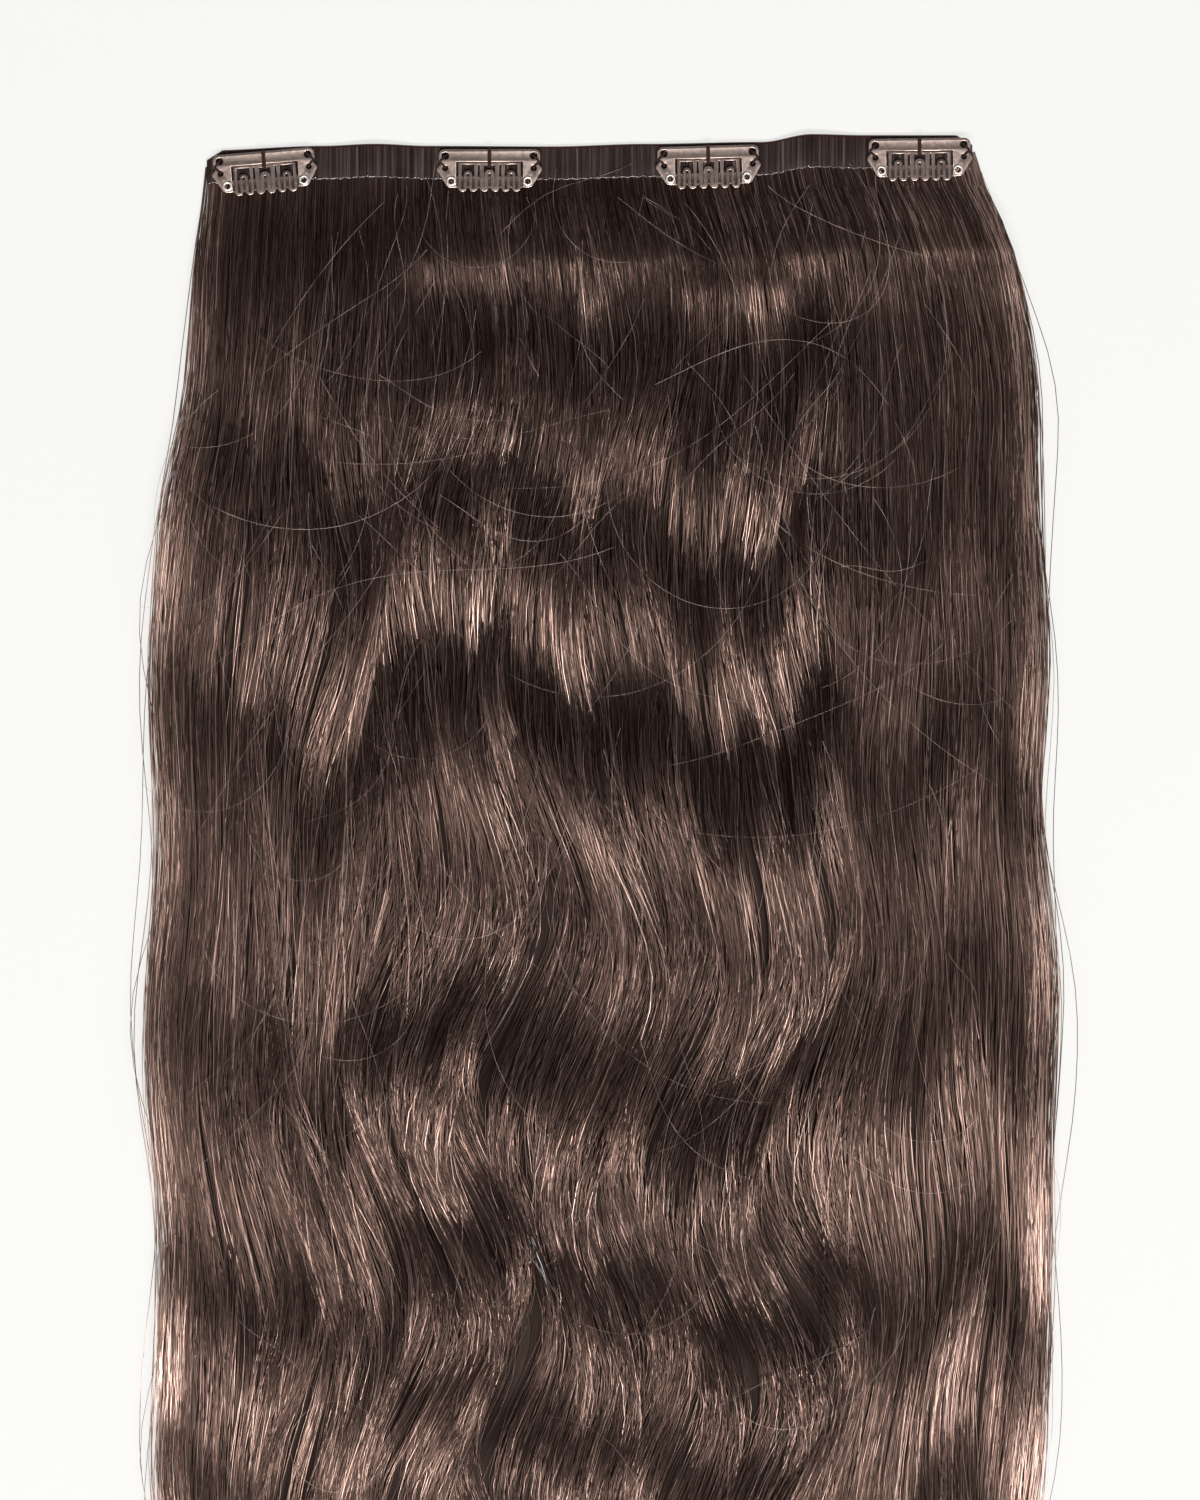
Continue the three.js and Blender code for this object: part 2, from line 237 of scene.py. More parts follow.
def treeWithInputs(name, inputs):
    tree = bpy.data.node_groups.new(name, "GeometryNodeTree")
    tree.interface.new_socket("Geometry", in_out="INPUT", socket_type="NodeSocketGeometry")
    for label, kind, value in inputs:
        socket = tree.interface.new_socket(label, in_out="INPUT", socket_type=kind)
        if value is not None:
            socket.default_value = value
    tree.interface.new_socket("Geometry", in_out="OUTPUT", socket_type="NodeSocketGeometry")
    graph = Graph(tree)
    start = tree.nodes.new("NodeGroupInput")
    end = tree.nodes.new("NodeGroupOutput")
    return tree, graph, {s.name: Wire(tree, s) for s in start.outputs if s.name}, end


def endTree(graph, given, end, geometry):
    real = graph.node("GeometryNodeRealizeInstances", None, {"Geometry": geometry})
    done = graph.node("GeometryNodeSetMaterial", None, {"Geometry": real, "Material": given["Material"]})
    graph.feed(end.inputs[0], done)


# Tubes along every edge path of a mesh: the point attribute girth gives each point's own thickness
def makeTubeTree():
    inputs = [
        ("Radius", "NodeSocketFloat", 0.15 * mm),
        ("Sides", "NodeSocketInt", 3),
        ("Material", "NodeSocketMaterial", None),
    ]
    tree, graph, given, end = treeWithInputs("tubeTree", inputs)
    paths = graph.node("GeometryNodeMeshToCurve", None, {"Mesh": given["Geometry"]})
    ring = {"Resolution": given["Sides"], "Radius": given["Radius"]}
    circle = graph.node("GeometryNodeCurvePrimitiveCircle", None, ring)
    girth = graph.node("GeometryNodeInputNamedAttribute", {"data_type": "FLOAT"}, {"Name": "girth"})
    swept = {"Curve": paths, "Profile Curve": circle, "Scale": girth, "Fill Caps": True}
    tubes = graph.node("GeometryNodeCurveToMesh", None, swept)
    smooth = graph.node("GeometryNodeSetShadeSmooth", None, {"Geometry": tubes})
    endTree(graph, given, end, smooth)
    return tree


# Copies of one small master on the points of a mesh
def makeCopyTree():
    inputs = [("Master", "NodeSocketObject", None), ("Material", "NodeSocketMaterial", None)]
    tree, graph, given, end = treeWithInputs("copyTree", inputs)
    original = {"transform_space": "ORIGINAL"}
    master = graph.node("GeometryNodeObjectInfo", original, {"Object": given["Master"]}, output="Geometry")
    points = graph.node("GeometryNodeMeshToPoints", None, {"Mesh": given["Geometry"]})
    copies = graph.node("GeometryNodeInstanceOnPoints", None, {"Points": points, "Instance": master})
    endTree(graph, given, end, copies)
    return tree


def setPointValues(mesh, name, values):
    layer = mesh.attributes.new(name, "FLOAT", "POINT")
    layer.data.foreach_set("value", values.astype(np.float32).ravel())


def tubesAlong(name, paths, girth, values, material, tint=None):
    count, steps = paths.shape[:2]
    first = (np.arange(count)[:, None] * steps + np.arange(steps - 1)[None, :]).ravel()
    mesh = meshFromArrays(name + "Paths", paths.reshape(-1, 3), edges=np.stack([first, first + 1], axis=1))
    setPointValues(mesh, "girth", girth)
    if tint is not None:
        setPointValues(mesh, "tint", tint)
    return runTree(name, mesh, tubeTree, values, material)


tubeTree = makeTubeTree()
copyTree = makeCopyTree()

# A table's rows under the names of its columns
def table(columns, *rows):
    return [dict(zip(columns, row)) for row in rows]


# The band's line and the hair's own form, in millimetres

band = {
    "length": 204.0, "height": 9.0, "wall": 0.35, "root": 0.6, "gap": 0.15, "corner": 4.2, "cornerDrop": 2.6,
    "wander": 3.0, "lift": 1.6, "stations": 300,
    "rows": table(
        ("at", "rise", "lift"),
        (-1, -0.4, 0), (-0.7, 0, 0), (-0.56, 0.15, 0.75), (-0.42, 0, 0), (-0.1, -0.05, 0), (0.15, 0.18, 0),
        (0.45, 0.35, 0), (0.58, 1, 1), (0.72, 0.95, 0), (1, 0.95, 0),
    ),
}
half = band["length"] / 2
bandThick = 2 * band["wall"] + 2 * band["gap"] + band["root"]

hair = {
    "length": 457.0, "thick": 5.2, "rootThick": 0.6,
    # the hair starts this far above the film's lower edge, and dips by rootSunk before it rises
    "underFilm": 4.5, "rootSunk": 0.48, "rootRise": 0.032,
    # over these lengths the phases, the lateness, the flows, the waves and the band's lift come in
    "phaseRun": 100, "lateRun": 75, "flowRun": 80, "waveRun": 24, "liftRun": 18,
    "rows": table(
        ("at", "left", "right", "full"),
        (0, -1, 1, 0), (0.012, -1.005, 1, 0.08),
        (0.03, -1.02, 1.06, 0.3),
        (0.05, -1.033, 1.1, 0.5),
        (0.09, -1.037, 1.135, 0.7),
        (0.13, -1.06, 1.16, 0.9),
        (0.19, -1.125, 1.17, 1),
        (0.3, -1.14, 1.21, 1),
        (0.39, -1.13, 1.18, 0.95),
        (0.48, -1.15, 1.22, 1),
        (0.6, -1.13, 1.21, 0.95),
        (0.77, -1.14, 1.2, 0.85),
        (0.89, -1.08, 1.13, 0.65),
        (1, -0.98, 1.02, 0.3),
    ),
    # crests and hollows along the hair, in mm
    "leftWaves": table(
        ("at", "height"),
        (0, 0), (30, 2.6), (48, 3.4), (70, 1), (100, 5), (143, 0.8), (168, 3.6), (222, 0.6), (254, 3.4),
        (298, 0.4), (318, 2.6), (346, 0.4), (368, 3), (398, 0.4), (420, 2.6), (457, 0.2),
    ),
    "middleWaves": table(
        ("at", "height"),
        (0, 0), (16, 7), (39, 0.4), (62, 4.4), (87, 0.3), (108, 4.8), (135, 0.2), (162, 7.4), (192, 3.6),
        (226, 0), (256, 5.8), (286, 0.5), (306, 5), (328, 0.6), (349, 4.8), (372, 0.6), (393, 4.6),
        (418, 0.5), (438, 2.8), (457, 0.2),
    ),
    "rightWaves": table(
        ("at", "height"),
        (0, 0), (14, 7), (39, 0.8), (64, 1.6), (84, 1), (106, 3.2), (150, 0.6), (172, 3.2), (218, 0.6),
        (242, 3.4), (292, 0.2), (318, 3), (352, 0.4), (378, 3), (410, 0.5), (432, 2.4), (457, 0.2),
    ),
    # how far the hair swerves to the right, in mm
    "leftSwerves": table(
        ("at", "swerve"),
        (0, 0), (45, 1), (92, 7), (150, -4), (195, -3), (248, -10), (306, 6), (362, -6), (412, 4), (457, 0),
    ),
    "middleSwerves": table(
        ("at", "swerve"),
        (0, 0), (60, 2), (112, -3), (150, 1), (200, 10), (262, -10), (314, 7), (360, -7), (404, 5),
        (457, -2),
    ),
    "rightSwerves": table(
        ("at", "swerve"),
        (0, 0), (52, 3), (120, -3), (200, 3), (254, -4), (300, 2), (350, -4), (420, 3), (457, 0),
    ),
    # where the left waves give way to the middle ones, and those to the right ones
    "leftEnd": -0.5, "rightStart": 0.52, "blend": 0.16,
    # how many mm the waves run late across the weft
    "phases": table(
        ("at", "late"),
        (-1, -16), (-0.8, -2), (-0.58, 14), (-0.46, -9), (-0.3, -7), (-0.18, -6), (-0.07, 9), (0.12, 11),
        (0.3, 15), (0.42, 19), (0.52, 2), (0.68, 8), (0.82, -6), (1, 20),
    ),
    "flows": table(
        ("sway", "across", "span", "turn"),
        (1.9, 5.1, 185, 0.4),
        (1.4, -8.3, 131, 2.2),
        (0.8, 14.2, 97, 4.1),
    ),
    "shells": 14, "shellSides": 34, "shellSteps": 72,
}


clip = {
    "width": 28.0, "topWidth": 27.1, "strip": 3.3, "thick": 0.5, "corner": 1.6, "earDrop": 5.3, "notch": 0.45,
    "margin": 1.1, "gap": 0.3, "rise": 1.15, "barThick": 0.5, "barHeight": 3.4, "bevel": 0.13,
    "rivetSpacing": 20.4, "rivetDrop": 8.5, "rivetBore": 0.6, "rivetWall": 0.35, "rivetFlange": 1.3,
    "flangeThick": 0.3, "rivetGap": 0.12, "rivetEdge": 1.7, "upperSpacing": 23.5, "upperDrop": 1.7,
    "upperRadius": 0.95, "middleSpacing": 23.6, "middleDrop": 5.0, "middleRadius": 0.75,
    "combLength": 7.6, "pitch": 2.875, "pairs": 3, "wire": 0.95, "combThick": 0.5, "combTilt": 4.0,
    "combBevel": 0.17, "rootBar": 0.5, "hingeOut": 0.45, "hingeRise": 1.0, "archDrop": 1.8, "slit": 0.5,
    "yarn": 0.15, "yarns": 4,
    "rows": table(
        ("at", "turn"),
        (-0.852, 2.5), (-0.261, 0.4), (0.309, 0.5), (0.861, 0.8),
    ),
}
hingeDrop = clip["strip"] + clip["hingeOut"]
combWidth = (clip["pairs"] - 1) * 2 * clip["pitch"] + 1.5 * clip["pitch"] + clip["wire"]
rivetHole = clip["rivetBore"] + clip["rivetWall"] + clip["rivetGap"]


def column(rows, key, at):
    places = np.array([row["at"] for row in rows], float)
    values = np.array([row[key] for row in rows], float)
    at = np.clip(at, places[0], places[-1])
    after = np.clip(np.searchsorted(places, at), 1, len(places) - 1)
    share = (at - places[after - 1]) / (places[after] - places[after - 1])
    eased = share * share * (3 - 2 * share)
    return values[after - 1] + (values[after] - values[after - 1]) * eased


def smoothStep(value):
    value = np.clip(value, 0, 1)
    return value * value * (3 - 2 * value)


def bandTop(x):
    return column(band["rows"], "rise", x / half) * band["wander"]


def cornerLoss(x):
    return np.maximum(0, band["corner"] - (half - np.abs(x))) * band["cornerDrop"] / band["corner"]


def bandLift(x):
    return column(band["rows"], "lift", x / half) * band["lift"]


# A wave's height or swerve, from the tables of the left, the middle and the right of the weft
def waveAt(tables, key, side, moved):
    left = 1 - smoothStep((side - hair["leftEnd"]) / hair["blend"] + 0.5)
    right = smoothStep((side - hair["rightStart"]) / hair["blend"] + 0.5)
    value = left * column(hair["left" + tables], key, moved)
    value = value + right * column(hair["right" + tables], key, moved)
    return value + (1 - left - right) * column(hair["middle" + tables], key, moved)


# The outline's left or right edge, with its corners smoothed
def outlineAt(key, along):
    places = [row["at"] * hair["length"] for row in hair["rows"]]
    values = [row[key] for row in hair["rows"]]
    shifts = (-10, -5, 0, 5, 10)
    return sum(np.interp(along + shift, places, values) for shift in shifts) / len(shifts)


# Slow bends that neighbouring hairs share, in mm to the right
def flowAt(side, along):
    value = 0
    for row in hair["flows"]:
        angle = row["across"] * side + 2 * math.pi * along / row["span"] + row["turn"]
        value = value + row["sway"] * np.sin(angle)
    return value


# Where a hair lies: side is its place across the weft from -1 to 1, depth from 0 on the table to 1 on top
def hairLine(side, along, depth, late=0.0, sway=0.0, over=0.0, tall=1.0):
    at = along / hair["length"]
    left = outlineAt("left", along)
    right = outlineAt("right", along)
    phase = column(hair["phases"], "late", side) * smoothStep(along / hair["phaseRun"])
    moved = along - phase - late * smoothStep(along / hair["lateRun"])
    held = np.clip(np.abs(side), 0, 1)
    swerve = waveAt("Swerves", "swerve", side, moved)
    swerve = swerve + flowAt(side, along) * smoothStep(along / hair["flowRun"])
    swerve = swerve * (1 - 0.85 * held ** 4) + sway
    x = half * ((left + right) / 2 + side * (right - left) / 2) + swerve
    thick = hair["rootThick"] + (hair["thick"] - hair["rootThick"]) * column(hair["rows"], "full", at)
    edge = np.sqrt(np.clip(1 - held ** 6, 0.04, 1))
    wave = tall * waveAt("Waves", "height", side, moved) * smoothStep(along / hair["waveRun"])
    wave = wave * (0.55 + 0.45 * edge)
    rootX = side * half
    z = wave + (1 - smoothStep(along / hair["liftRun"])) * (bandLift(rootX) + band["wall"] + band["gap"])
    z = z + thick * (0.5 + (depth - 0.5) * edge) + over
    y = bandTop(rootX) - band["height"] + hair["underFilm"] - along
    return x, y, np.maximum(z, 0.16)


# The hair leaves the film low enough to pass under the combs' tips
def rootCap(x, along):
    past = np.maximum(0, along - hair["underFilm"])
    return bandLift(x) + bandThick - hair["rootSunk"] + hair["rootRise"] * past ** 2


# Materials

# Colours for the lock bodies: partly the hair's own streaks, partly painted shade, darkened nearly to black
lockHairAndShadeColours = [
    (0.0, (0.003, 0.0015, 0.0013)), (0.38, (0.009, 0.0048, 0.004)), (0.6, (0.032, 0.0182, 0.0143)),
    (0.8, (0.105, 0.065, 0.051)), (1.0, (0.27, 0.187, 0.152)),
]
glintColours = [
    (0.0, (0.003, 0.0014, 0.0015)), (0.3, (0.011, 0.0058, 0.0056)), (0.52, (0.1, 0.063, 0.051)),
    (0.75, (0.44, 0.295, 0.243)), (1.0, (0.84, 0.615, 0.525)),
]


# Each strand has a tint of its own, which also fades and glints along it; the tint also carries painted shade
# near the roots and painted light at the weft's edges
def makeStrandMaterial():
    material, graph, shade = newMaterial(
        "hairStrands", IOR=1.7, Specular_IOR_Level=0.8, Specular_Tint=(1.0, 0.64, 0.52, 1),
    )
    tint = graph.node("ShaderNodeAttribute", {"attribute_name": "tint"}, output="Fac")
    spot = objectSpot(graph)
    fades = noiseOver(graph, spot, (1500.0, 34.0, 0.0), 1.0)
    patches = noiseOver(graph, spot, 26.0, 1.0)
    value = tint * 0.8 + fades * 0.4 + patches * 0.24 - 0.27
    shade("Base Color", graph.ramp(value, glintColours))
    glint = {"Value": value, "From Min": 0.3, "From Max": 0.6, "To Min": 0.0, "To Max": 0.8}
    shade("Metallic", graph.node("ShaderNodeMapRange", None, glint))
    dull = {"Value": value, "From Min": 0.14, "From Max": 0.5, "To Min": 0.42, "To Max": 0.29}
    shade("Roughness", graph.node("ShaderNodeMapRange", None, dull))
    return material


# Loose hairs catch the light wherever they turn: their paler colour is painted light, and they are duller
def makeLooseMaterial():
    material, graph, shade = newMaterial("looseHair", IOR=1.5, Roughness=0.5, Specular_IOR_Level=0.6)
    spot = objectSpot(graph)
    fades = noiseOver(graph, spot, 160.0, 1.0)
    tones = ((0.045, 0.028, 0.023), (0.52, 0.39, 0.335))
    shade("Base Color", mixColour(graph, fades * 2.2 - 0.6, *tones))
    return material


# The body of a lock under the strands, with its hairs drawn along it: its colours are darkened nearly to
# black as painted shade, so the gaps between strands read as shadow
def makeLockMaterial():
    material, graph, shade = newMaterial(
        "hairLocks", IOR=1.55, Specular_IOR_Level=0.2, Specular_Tint=(0.92, 0.66, 0.55, 1),
    )
    uv = graph.node("ShaderNodeUVMap", {"uv_map": "UVMap"})
    streaks = noiseOver(graph, uv, (700.0, 5.0, 1.0), 2.0)
    hairs = noiseOver(graph, uv, (2200.0, 14.0, 1.0), 1.0)
    value = streaks * 1.2 + hairs * 1.2 - 1.08
    shade("Base Color", graph.ramp(value, lockHairAndShadeColours))
    shade("Roughness", 0.62 - value * 0.2)
    bumpFrom(graph, shade, streaks * 0.4 + hairs * 0.6, 1.0, 0.0005)
    return material


# Clear film over the roots: fine upright hairs show through it, and it glosses where it undulates
def makeFilmMaterial():
    material, graph, shade = newMaterial(
        "clearFilm", IOR=1.5, Coat_Roughness=0.08, Specular_IOR_Level=0.5,
    )
    uv = graph.node("ShaderNodeUVMap", {"uv_map": "UVMap"})
    strips = noiseOver(graph, uv, (1000.0, 22.0, 1.0), 2.0)
    hairs = noiseOver(graph, uv, (2300.0, 40.0, 1.0), 1.0)
    slow = noiseOver(graph, uv, (55.0, 90.0, 1.0), 1.0)
    value = strips * 0.55 + hairs * 0.45
    height = graph.node("ShaderNodeSeparateXYZ", None, {"Vector": uv}, output="Y")
    edge = {"Value": height, "From Min": 0.0096, "From Max": 0.0106, "To Min": 1.0, "To Max": 0.0}
    fold = graph.node("ShaderNodeMapRange", None, edge)
    stops = [
        (0.34, (0.012, 0.0064, 0.0055)), (0.5, (0.036, 0.0215, 0.019)),
        (0.62, (0.08, 0.055, 0.048)), (0.76, (0.2, 0.15, 0.135)),
    ]
    clear = graph.ramp(value, stops)
    shade("Base Color", mixColour(graph, fold, clear, (0.03, 0.011, 0.009)))
    shade("Roughness", slow * 0.2 + 0.14)
    shade("Coat Weight", slow * 1.6 - 0.4)
    shade("Alpha", value * 0.7 + 0.2 + fold * 0.6)
    bumpFrom(graph, shade, value * 0.12 + slow, 0.6, 0.0012)
    return material


def makeMetalMaterial(name, dark, light, rough):
    material, graph, shade = newMaterial(name, Metallic=1.0, IOR=1.45)
    spot = objectSpot(graph)
    grain = noiseOver(graph, spot, (400.0, 5200.0, 400.0), 3.0)
    wear = noiseOver(graph, spot, 900.0, 2.0)
    shade("Base Color", mixColour(graph, grain * 0.5 + wear * 0.5, dark, light))
    shade("Roughness", wear * 0.16 + (rough - 0.08))
    bumpFrom(graph, shade, grain, 0.12, 0.00005)
    return material


def makeThreadMaterial():
    material, graph, shade = newMaterial("sewingThread", Roughness=0.9, Specular_IOR_Level=0.15)
    spot = objectSpot(graph)
    fibre = noiseOver(graph, spot, 5000.0, 2.0)
    tones = ((0.014, 0.007, 0.006), (0.05, 0.026, 0.022))
    shade("Base Color", mixColour(graph, fibre, *tones))
    bumpFrom(graph, shade, fibre, 0.4, 0.00005)
    return material


def makeGlueMaterial():
    material, graph, shade = newMaterial("glueEdge", Roughness=0.3, IOR=1.5, Coat_Weight=0.3)
    spot = objectSpot(graph)
    dots = noiseOver(graph, spot, 900.0, 2.0)
    stretches = noiseOver(graph, spot, 70.0, 1.0)
    shown = dots * 2.6 + stretches * 1.4 - 1.5
    tones = ((0.08, 0.058, 0.052), (0.42, 0.34, 0.31))
    shade("Base Color", mixColour(graph, dots, *tones))
    shade("Alpha", shown)
    bumpFrom(graph, shade, dots, 0.6, 0.0002)
    return material


strandMaterial = makeStrandMaterial()
looseMaterial = makeLooseMaterial()
lockMaterial = makeLockMaterial()
filmMaterial = makeFilmMaterial()
steelMaterial = makeMetalMaterial("clipSteel", (0.44, 0.335, 0.29), (0.68, 0.53, 0.465), 0.34)
# The bar behind the teeth is the same steel, given darker colours as painted shade in the narrow gaps between
# the comb's legs
barInShadeMaterial = makeMetalMaterial("barSteelPaintedShade", (0.09, 0.066, 0.058), (0.17, 0.125, 0.11), 0.4)
rivetMaterial = makeMetalMaterial("rivetSteel", (0.78, 0.71, 0.66), (0.95, 0.89, 0.84), 0.42)
threadMaterial = makeThreadMaterial()
glueMaterial = makeGlueMaterial()
print("stage: materials made")

# Hair: locks, strands and flyaways

strands = {
    "clumps": 38, "crossing": 12, "crossShare": 0.14, "edgeShare": 0.08, "top": 2320, "under": 320,
    "steps": 47, "radius": 0.13, "clumpLate": 5, "strandLate": 2.6, "drift": 0.8, "stray": 0.55, "lean": 1.5,
    "leanIn": 42, "leanOut": 90, "gather": 0.12, "tipGather": 0.24, "tipThin": 0.75, "domed": 1.3,
    "shade": 0.26, "edgeRoots": (0.93, 1.0), "topDepths": (0.74, 1.0), "underDepths": (0.0, 0.2),
    "waver": (0.04, 0.2), "waverSpans": (60, 170), "straySpans": (55, 150), "freeRun": 80, "jitter": 0.4,
    "ends": (0.9, 1.0), "tall": (0.92, 1.08), "girths": (0.7, 1.25), "tint": (0.9, 1.3),
    "paintedEdgeLight": (0.1, 0.6),
}


# Clumps side by side, with a few more that cross over them: each has waves, a sway and a height of its own
def makeClumps():
    count, crossing = strands["clumps"], strands["crossing"]
    total = count + crossing
    edges = np.concatenate([[0], np.cumsum(rng.uniform(0.45, 1.6, count))])
    edges = edges / edges[-1] * 2 - 1
    overCentre = rng.uniform(-0.82, 0.82, crossing)
    over = np.arange(total) >= count
    centre = np.concatenate([(edges[1:] + edges[:-1]) / 2, overCentre])
    crossed = np.where(over, rng.normal(0, 15, total), rng.normal(0, 1.2, total))
    return {
        "edges": edges,
        "centre": centre,
        "width": np.concatenate([edges[1:] - edges[:-1], rng.uniform(0.035, 0.075, crossing)]),
        "cross": np.where(np.abs(centre) > 0.5, -np.sign(centre) * np.abs(crossed), crossed),
        "crossAt": rng.uniform(60, 240, total),
        "late": rng.normal(0, strands["clumpLate"], total),
        "tall": rng.uniform(0.92, 1.22, total),
        "turn": rng.uniform(0, 1, total),
        "drift": rng.normal(0, strands["drift"], total),
        "span": rng.uniform(95, 210, total),
        "raise": np.where(over, rng.uniform(0.9, 1.8, total), rng.uniform(-0.5, 0.8, total)),
        "end": rng.uniform(0.93, 1.0, total),
    }


# Quads between rings of points, each ring on the next
def ringFaces(count, sides, first=0):
    ring = np.arange(sides)
    low = first + np.arange(count - 1)[:, None] * sides
    after = low + (ring + 1) % sides
    return np.stack([low + ring, after, after + sides, low + sides + ring], axis=-1).reshape(-1, 4)


def makeLocks():
    count, sides, steps = hair["shells"], hair["shellSides"], hair["shellSteps"]
    points, faces, uv = [], [], []
    ring = np.arange(sides)
    turn = ring[None, :] / sides * 2 * math.pi
    ridge = 1 + 0.1 * ((ring % 2) - 0.5)[None, :]
    share = np.linspace(0, 1, steps)[:, None]
    for lock in range(count):
        middle = -1 + (2 * lock + 1) / count
        along = share * hair["length"] * (0.9 + 0.03 * math.sin(lock * 2.4)) + 3
        side = middle + 1.32 / count * np.cos(turn) * (1 - 0.6 * share ** 12)
        side = np.clip(side, -0.985, 0.985)
        depth = 0.3 + 0.22 * np.sin(turn) * ridge * (1 - 0.9 * share ** 10)
        x, y, z = hairLine(side, along, depth, late=rng.normal(0, 2), tall=0.86)
        z = np.minimum(z, rootCap(x, along) - 0.25)
        points.append(place(x, y, z).reshape(-1, 3))
        across = lock * 0.03 + (side - middle) * half * mm
        uv.append(np.stack([across, along * mm + 0 * side], axis=-1).reshape(-1, 2))
        faces.append(ringFaces(steps, sides, lock * steps * sides))
    mesh = meshFromArrays("hairLocks", np.concatenate(points), np.concatenate(faces), uv=np.concatenate(uv))
    closeEnds(mesh)
    return addPiece("hairLocks", mesh, lockMaterial)


# A strand follows its clump, and gathers to its middle further down: the outermost ones stray from the edge
def strandPaths(count, depths):
    def each(values):
        return values[:, None]

    def slowWave(spans):
        span = each(rng.uniform(*spans, count))
        return np.sin(2 * math.pi * (along / span + each(rng.uniform(0, 1, count))))

    crossing = rng.uniform(0, 1, count) < strands["crossShare"]
    root = rng.uniform(-1, 1, count)
    outer = rng.choice([-1.0, 1.0], count) * rng.uniform(*strands["edgeRoots"], count)
    root = np.where(rng.uniform(0, 1, count) < strands["edgeShare"], outer, root)
    clump = np.clip(np.searchsorted(clumps["edges"], root) - 1, 0, strands["clumps"] - 1)
    overClump = rng.integers(strands["clumps"], strands["clumps"] + strands["crossing"], count)
    clump = np.where(crossing & (depths > 0.5), overClump, clump)
    own = {key: each(values[clump]) for key, values in clumps.items() if key != "edges"}
    inside = (each(root) - own["centre"]) / own["width"]
    inside = np.where(np.abs(inside) > 0.5, each(rng.uniform(-0.5, 0.5, count)), inside)
    end = own["end"] * each(rng.uniform(*strands["ends"], count)) ** 0.6
    share = np.linspace(0, 1, strands["steps"])[None, :]
    along = share * (end * hair["length"] + hair["underFilm"])
    free = smoothStep(along / strands["freeRun"])
    waver = each(rng.uniform(*strands["waver"], count)) * slowWave(strands["waverSpans"])
    rim = each(smoothStep((np.abs(root) - 0.86) / 0.08))
    gather = 1 - strands["gather"] * (1 - rim) * smoothStep((along - 30) / 320)
    gather = gather - strands["tipGather"] * smoothStep((share - 0.8) / 0.2)
    within = inside * gather + waver * smoothStep(along / 50)
    side = np.clip(own["centre"] + within * own["width"], -1, 1)
    turn = along / own["span"] + own["turn"]
    sway = own["drift"] * np.sin(2 * math.pi * turn)
    sway = sway + own["cross"] * smoothStep((along - own["crossAt"]) / 150)
    stray = slowWave(strands["straySpans"])
    sway = sway + each(rng.exponential(strands["stray"], count)) * stray
    lean = each(rng.normal(0, strands["lean"], count)) * smoothStep((along - 3) / strands["leanIn"])
    lean = lean * (1 - smoothStep((along - 60) / strands["leanOut"]))
    sway = (sway + each(rng.normal(0, strands["jitter"], count))) * free + lean
    sway = sway * (1 - 0.9 * np.clip(np.abs(side), 0, 1) ** 4)
    reach = rng.normal(-1.7, 1.4, count) + (rng.uniform(0, 1, count) > 0.85) * rng.uniform(1, 5, count)
    swing = np.sin(2 * math.pi * (along / own["span"] + each(rng.uniform(0, 1, count))))
    reach = each(reach) * (0.7 + 0.6 * swing)
    sway = sway + np.sign(side) * rim * smoothStep((np.abs(side) - 0.9) / 0.08) * free * reach
    dome = (1 - (2 * np.clip(np.abs(within), 0, 0.5)) ** 2) * strands["domed"] + own["raise"]
    full = column(hair["rows"], "full", along / hair["length"])
    above = np.where(each(depths) > 0.5, 1, -0.3) * dome * free * full * 0.65
    late = own["late"] + each(rng.normal(0, strands["strandLate"], count))
    tall = own["tall"] * each(rng.uniform(*strands["tall"], count))
    x, y, z = hairLine(side, along, each(depths), late, sway, above, tall)
    z = np.minimum(z, rootCap(x, along))
    girth = (1 - strands["tipThin"] * share ** 6) * each(rng.uniform(*strands["girths"], count))
    girth = girth * (0.6 + 0.4 * smoothStep(along / 12))
    # Painted shade: strands are darkened near the roots, reaching further down on the left and not at all on
    # the right
    shadeEnd = 20 + 18 * (1 - smoothStep((side + 0.4) / 0.2))
    shaded = (1 - smoothStep((along - shadeEnd + 10) / 14)) * (1 - smoothStep((side - 0.25) / 0.25))
    return place(x, y, z), girth, np.abs(root), shaded


def makeStrands():
    top, under = strands["top"], strands["under"]
    depths = [rng.uniform(*strands["topDepths"], top), rng.uniform(*strands["underDepths"], under)]
    depths = np.concatenate(depths)
    paths, girth, outward, shaded = strandPaths(top + under, depths)
    tint = rng.beta(*strands["tint"], top + under)
    # Strands at the weft's outer edges get a paler tint: painted light along the edges
    tint = tint + rng.uniform(*strands["paintedEdgeLight"], top + under) * smoothStep((outward - 0.92) / 0.05)
    # The painted shade lowers each strand's tint near its root
    tint = tint[:, None] - strands["shade"] * shaded
    order = rng.permutation(top + under)
    values = {"Radius": strands["radius"] * mm, "Sides": 3}
    pieces = []
    for index, chosen in enumerate(np.array_split(order, 4)):
        name = f"hairStrands{index + 1}"
        pieces.append(tubesAlong(name, paths[chosen], girth[chosen], values, strandMaterial, tint[chosen]))
    return pieces


looseHairs = {
    "count": 200, "steps": 30, "radius": 0.062, "middle": 2.8, "wide": 121, "wideTop": 104, "combGap": 1.5,
    "over": 0.8, "overMore": 2.6, "overClip": 2.6, "startX": (-112, 116), "startY": (-440, -60),
    "nearDown": 110, "nearTurn": 0.85, "farTurn": 0.4, "lengths": (12, 130), "logLength": (3.85, 0.5),
    "bends": (24, 90), "combEnd": 15, "tips": 447, "raise": (0.3, 1.3), "girths": (0.7, 1.15),
}


